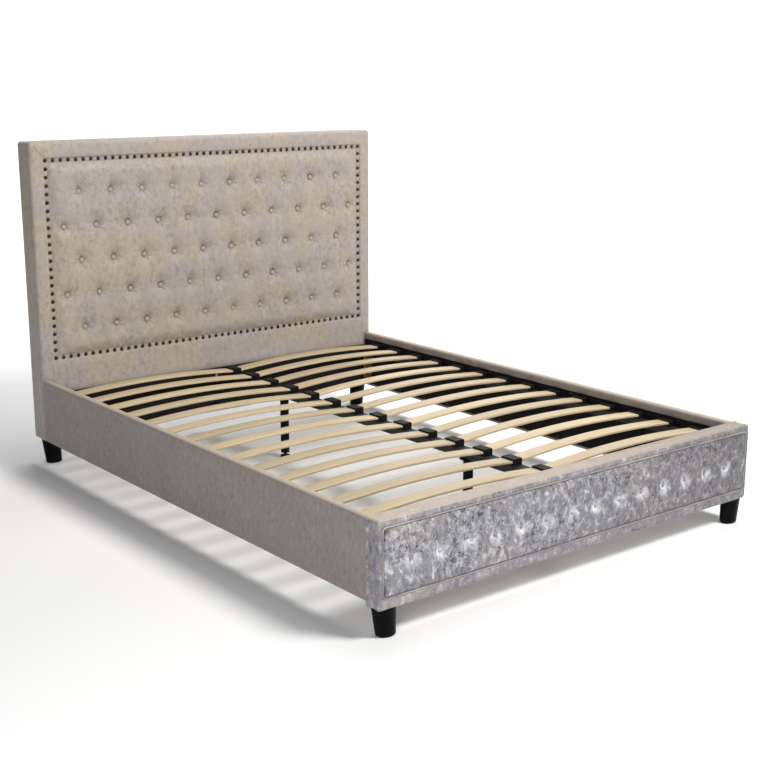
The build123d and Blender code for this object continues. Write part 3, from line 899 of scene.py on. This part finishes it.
def footboard_trim():
    places, _ = foot_button_places()
    r = foot_button_radius
    profile = [(0, 5.0 * MM), (r * 0.3, 4.9 * MM), (r * 0.6, 4.1 * MM), (r * 0.85, 2.7 * MM),
               (r, 0.8 * MM), (r * 0.9, -0.6 * MM), (0, -0.6 * MM)]
    seat = back_of("footboard_buttons") - 1 * MM
    buttons = scatter("footboard_buttons_velvet", lathe(profile, 22),
                      [(x, seat, z) for x, z in places], foot_button_velvet, 0.08, 9)
    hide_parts("footboard_buttons")

    # piping: a covered cord in the groove, slightly uneven
    flat, _ = loop_points(piping_rect, 11 * MM, 300, 40, 10)
    centre = np.column_stack([flat[:, 0], np.full(len(flat), foot_front + 2.4 * MM), flat[:, 1]])
    tangent = np.roll(centre, -1, axis=0) - np.roll(centre, 1, axis=0)
    tangent /= np.linalg.norm(tangent, axis=1, keepdims=True)
    inward = np.cross(tangent, (0, 1, 0))
    segments = 12
    rows = []
    for k in range(segments):
        a = 2 * math.pi * k / segments
        r = 2.9 * MM * (1 + 0.08 * cloud(centre[:, 0], centre[:, 2], 0.02, 71, 2))
        rows.append(centre + r[:, None] * (math.cos(a) * inward + math.sin(a) * np.array([0, 1.0, 0])))
    piping = make_mesh("footboard_piping_velvet", np.concatenate(rows),
                       strip_faces(segments, len(centre), True, True), piping_velvet)
    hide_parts("footboard_piping")


# ---- rails

def rail(side):
    """Velvet-wrapped rail: rounded long edges, a slightly uneven face and the fold down the inner face."""
    name = "left" if side < 0 else "right"
    node = name + "_rail_cover"
    low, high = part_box(node)
    outer, inner = max(abs(low[0]), abs(high[0])), min(abs(low[0]), abs(high[0]))
    y0, y1, z0, z1 = low[1], high[1], low[2], high[2]
    turn = 30 * MM
    hem = 10 * MM
    r = 9 * MM
    path = [(inner - 0.3 * MM, z1 - turn, 0), (inner - 0.8 * MM, z1 - turn + 3 * MM, 1),
            (inner - 0.8 * MM, z1 - turn * 0.6, 1), (inner - 0.5 * MM, z1 - r, 1)]
    for k in range(1, 6):
        a = math.pi / 2 * k / 6
        path.append((inner + r - r * math.cos(a), z1 - r + r * math.sin(a), 0))
    width = outer - inner
    for k in range(0, 4):
        t = k / 3
        path.append((inner + r + (width - 2 * r) * t, z1 + 0.6 * MM * math.sin(math.pi * t), 0))
    for k in range(1, 7):
        a = math.pi / 2 * k / 6
        path.append((outer - r + r * math.sin(a), z1 - r + r * math.cos(a), 0))
    steps = 26
    for k in range(1, steps):
        path.append((outer, z1 - r + (z0 + 6 * MM - z1 + r) * k / steps, 1))
    for k in range(0, 5):
        a = math.pi / 2 * k / 4
        path.append((outer - 6 * MM + 6 * MM * math.cos(a), z0 + 6 * MM - 6 * MM * math.sin(a), 0))
    path += [(inner + 6 * MM, z0, 0), (inner + 1 * MM, z0 + 1 * MM, 0), (inner - 0.4 * MM, z0 + hem, 0),
             (inner + 2.1 * MM, z0 + hem, 0), (inner + 4 * MM, z0 + 6 * MM, 0),
             (outer - 4 * MM, z0 + 5 * MM, 0), (outer - 4 * MM, z1 - 6 * MM, 0),
             (inner + 4 * MM, z1 - 6 * MM, 0), (inner + 2.1 * MM, z1 - turn, 0)]
    ys = np.concatenate([[y0], np.linspace(y0 + 2 * MM, y1 - 2 * MM, 400), [y1]])
    rows = []
    for x, z, wavy in path:
        px = np.full_like(ys, x)
        pz = np.full_like(ys, z)
        if wavy:
            out = 1.1 * MM * cloud(ys, pz, 0.16, 81 if side < 0 else 85, 3)
            px = px + (out if x > (inner + outer) / 2 else -0.4 * np.abs(out))
            px = np.minimum(px, outer + 1.5 * MM)
        tuck = np.where((ys < y0 + 1 * MM) | (ys > y1 - 1 * MM), 1.2 * MM, 0)
        px = np.where(px > (inner + outer) / 2, px - tuck, px + tuck)
        rows.append(np.column_stack([side * px, ys, pz]))
    columns = len(ys)
    faces = strip_faces(len(rows), columns, True, False) + end_caps(len(rows), columns)
    obj = make_mesh(name + "_rail_velvet", np.concatenate(rows), faces, rail_velvet)
    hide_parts(node)


# ---- lining cloths

def staples(name, places, axis, out):
    """Thin steel staples on the cloth. Each place is (u, depth, z, upright), where u is x or y."""
    points, faces = [], []
    long_half, wide_half, rise = 5 * MM, 0.6 * MM, 0.35 * MM
    for u, depth, z, upright in places:
        du, dz = (wide_half, long_half) if upright else (long_half, wide_half)
        first = len(points)
        for d in (depth - 0.2 * MM * out, depth + rise * out):
            for su, sz in ((-1, -1), (1, -1), (1, 1), (-1, 1)):
                a, b = u + su * du, z + sz * dz
                points.append((d, a, b) if axis == 0 else (a, d, b))
        faces += [tuple(first + i for i in f) for f in
                  ((0, 1, 2, 3), (7, 6, 5, 4), (0, 4, 5, 1), (1, 5, 6, 2), (2, 6, 7, 3), (3, 7, 4, 0))]
    return make_mesh(name, points, faces, staple_steel, smooth_shading=False)


def lining_sheet(node, axis, out):
    """Black lining stretched over the frame and stapled round its edge, in place of the plain CAD cloth."""
    low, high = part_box(node)
    across = 1 - axis
    u0, u1, z0, z1 = low[across], high[across], low[2], high[2]
    outer = high[axis] if out > 0 else low[axis]
    nu, nz = int((u1 - u0) / (12 * MM)) + 2, int((z1 - z0) / (12 * MM)) + 2
    gu, gz = [g.ravel() for g in np.meshgrid(np.linspace(u0, u1, nu), np.linspace(z0, z1, nz))]
    edge = np.minimum(np.minimum(gu - u0, u1 - gu), np.minimum(gz - z0, z1 - gz))
    hollow = 0.5 * MM + 0.5 * MM * cloud(gu, gz, 0.16, 41, 2) + 0.5 * MM * smooth(edge / (40 * MM))
    inset, pitch = 9 * MM, 65 * MM
    spots = []
    for z in (z0 + inset, z1 - inset):
        spots += [(u, z, False) for u in np.arange(u0 + 30 * MM, u1 - 25 * MM, pitch)]
    for u in (u0 + inset, u1 - inset):
        spots += [(u, z, True) for z in np.arange(z0 + 40 * MM, z1 - 35 * MM, pitch)]
    for u, z, _ in spots:
        hollow += 0.9 * MM * np.exp(-(np.hypot(gu - u, gz - z) / (13 * MM)) ** 2)
    front = outer - out * np.clip(hollow, 0.2 * MM, 2.4 * MM)
    layers = []
    for depth in (front, front - out * 0.6 * MM):
        layers.append(np.column_stack([depth, gu, gz] if axis == 0 else [gu, depth, gz]))
    faces = strip_faces(nz, nu, False, False)
    first = nu * nz
    faces += [tuple(first + i for i in reversed(f)) for f in faces]
    faces += [(a, d, c, b) for a, b, c, d in rim_faces(nz, nu, first)]
    cloth = make_mesh(node + "_cloth", np.concatenate(layers), faces, lining)
    rise = outer - out * 1.5 * MM
    pins = staples(node + "_staples", [(u, rise, z, upright) for u, z, upright in spots], axis, out)
    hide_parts(node)


# ---- slats

def slat(node):
    """Bowed birch slat with eased edges."""
    low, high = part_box(node)
    x0, x1, y0, y1 = low[0], high[0], low[1], high[1]
    thick = 8 * MM
    crown = (high[2] - low[2]) - thick
    z_end = low[2] + thick / 2
    middle, half = (x0 + x1) / 2, (x1 - x0) / 2
    radius = (half ** 2 + crown ** 2) / (2 * crown)
    r = 2.0 * MM
    yc, yh = (y0 + y1) / 2, (y1 - y0) / 2
    section = []
    for cy, cz, start in ((yh - r, thick / 2 - r, 0), (r - yh, thick / 2 - r, 90),
                          (r - yh, r - thick / 2, 180), (yh - r, r - thick / 2, 270)):
        for k in range(4):
            a = math.radians(start + 30 * k)
            section.append((cy + r * math.cos(a), cz + r * math.sin(a)))
    section = np.array(section)
    ease = 0.8 * MM
    eased = section * np.array([(yh - ease) / yh, (thick / 2 - ease) / (thick / 2)])
    rows = []
    for t in np.linspace(-1, 1, 49):
        z = z_end + crown - (radius - math.sqrt(radius ** 2 - (half * t) ** 2))
        pts = section if abs(t) < 1 else eased
        rows.append(np.column_stack([np.full(len(pts), middle + half * t), yc + pts[:, 0], z + pts[:, 1]]))
    rows[0][:, 0], rows[-1][:, 0] = x0, x1
    beside = []
    for end, inner, x in ((0, 1, x0 + 0.9 * MM), (-1, -2, x1 - 0.9 * MM)):
        row = rows[inner].copy()
        row[:, 0] = x
        row[:, 2] += rows[end][:, 2].mean() - rows[inner][:, 2].mean()
        beside.append(row)
    rows = [rows[0], beside[0]] + rows[1:-1] + [beside[1], rows[-1]]
    columns = len(section)
    faces = strip_faces(len(rows), columns, False, True)
    faces += [list(range(columns)), list(range((len(rows) - 1) * columns, len(rows) * columns))[::-1]]
    obj = make_mesh(node + "_birch", np.concatenate(rows), faces, slat_wood)
    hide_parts(node)


# ---- materials of the CAD nodes that stay

def paint(node, material, bevel=0.0):
    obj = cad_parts[node]
    obj.data.materials.clear()
    obj.data.materials.append(material)
    if bevel:
        add_modifier(obj, "BEVEL", width=bevel, segments=2, limit_method="ANGLE",
                     angle_limit=math.radians(50))


def paint_frame():
    paint("head_cross_board", lining, 1.0 * MM)
    for material, nodes in (
            (timber, ("headboard_frame", "headboard_face_board", "footboard_core", "left_rail_board",
                      "right_rail_board")),
            (black_wood, ("left_slat_ledge", "right_slat_ledge")),
            (holder_plastic, ("centre_slat_holders", "side_slat_holders")),
            (black_steel, ("centre_beam", "beam_hangers")),
            (leg_plastic, ("centre_legs", "head_levelling_glide", "foot_levelling_glide")),
            (foot_plastic, ("corner_feet",)),
            (yellow_zinc, ("corner_brackets", "frame_bolts"))):
        for node in nodes:
            paint(node, material)


# ---- stage, light and camera

def studio():
    """A pale floor that curves up behind the bed, seen along the camera's direction."""
    yaw = math.radians(38.4)
    forward = np.array([math.sin(yaw), math.cos(yaw)])
    across = np.array([math.cos(yaw), -math.sin(yaw)])
    near, far, sweep, top, half_width = -9.0, 7.0, 4.0, 12.0, 16.0
    profile = [(near, 0.0), (far, 0.0)]
    for k in range(1, 13):
        a = math.pi / 2 * k / 12
        profile.append((far + sweep * math.sin(a), sweep - sweep * math.cos(a)))
    profile.append((far + sweep, top))
    points = []
    for along, z in profile:
        for w in (-half_width, half_width):
            x, y = forward * along + across * w
            points.append((x, y, z))
    faces = strip_faces(len(profile), 2, False, False)
    mesh = bpy.data.meshes.new("studio_floor")
    mesh.from_pydata(points, [], faces)
    mesh.polygons.foreach_set("use_smooth", [True] * len(mesh.polygons))
    floor = bpy.data.objects.new("studio_floor", mesh)
    bpy.context.scene.collection.objects.link(floor)
    s = Shader("studio_paint")
    mesh.materials.append(s.finish((0.86, 0.86, 0.86, 1), 0.85))


def area_light(name, place, target, size, power, colour=(1, 1, 1)):
    data = bpy.data.lights.new(name, "AREA")
    data.shape = "DISK"
    data.size = size
    data.energy = power
    data.color = colour
    lamp = bpy.data.objects.new(name, data)
    lamp.location = place
    lamp.rotation_euler = (Vector(target) - Vector(place)).to_track_quat("-Z", "Y").to_euler()
    bpy.context.scene.collection.objects.link(lamp)


def lights():
    world = bpy.data.worlds.new("studio_world")
    bpy.context.scene.world = world
    world.use_nodes = True
    background = world.node_tree.nodes["Background"]
    background.inputs["Color"].default_value = (0.95, 0.97, 1.0, 1)
    background.inputs["Strength"].default_value = 0.20
    area_light("key", (1.5, -3.8, 4.7), (0, 0, 0.4), 1.7, 325, (1.0, 0.985, 0.96))
    area_light("top", (0.9, 0.6, 4.6), (0, 0, 0.3), 2.6, 60, (1.0, 0.97, 0.93))
    area_light("left", (-3.4, -3.0, 1.5), (-0.5, -0.5, 0.3), 1.2, 46, (0.95, 0.97, 1.0))
    area_light("backdrop", (2.6, 3.6, 6.5), (6.4, 8.0, 1.6), 3.5, 900)


def camera():
    data = bpy.data.cameras.new("camera")
    data.lens = 62.47
    data.sensor_width = 36.0
    data.clip_end = 60.0
    cam = bpy.data.objects.new("camera", data)
    cam.location = (-2.879, -3.742, 1.525)
    cam.rotation_euler = (math.radians(90 - 13.42), 0, math.radians(-38.43))
    bpy.context.scene.collection.objects.link(cam)
    bpy.context.scene.camera = cam
    bpy.context.scene.view_settings.view_transform = "Standard"


studio()
lights()
camera()
paint_frame()
headboard_border()
headboard_panel()
headboard_trim()
footboard_border()
inner_return()
footboard_panel()
footboard_trim()
for side in (-1, 1):
    rail(side)
for node in sorted(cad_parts):
    if node.startswith("slat_left_") or node.startswith("slat_right_"):
        slat(node)

lining_sheet("headboard_back_cloth", 1, 1)
lining_sheet("footboard_lining", 1, 1)
lining_sheet("left_rail_lining", 0, 1)
lining_sheet("right_rail_lining", 0, -1)
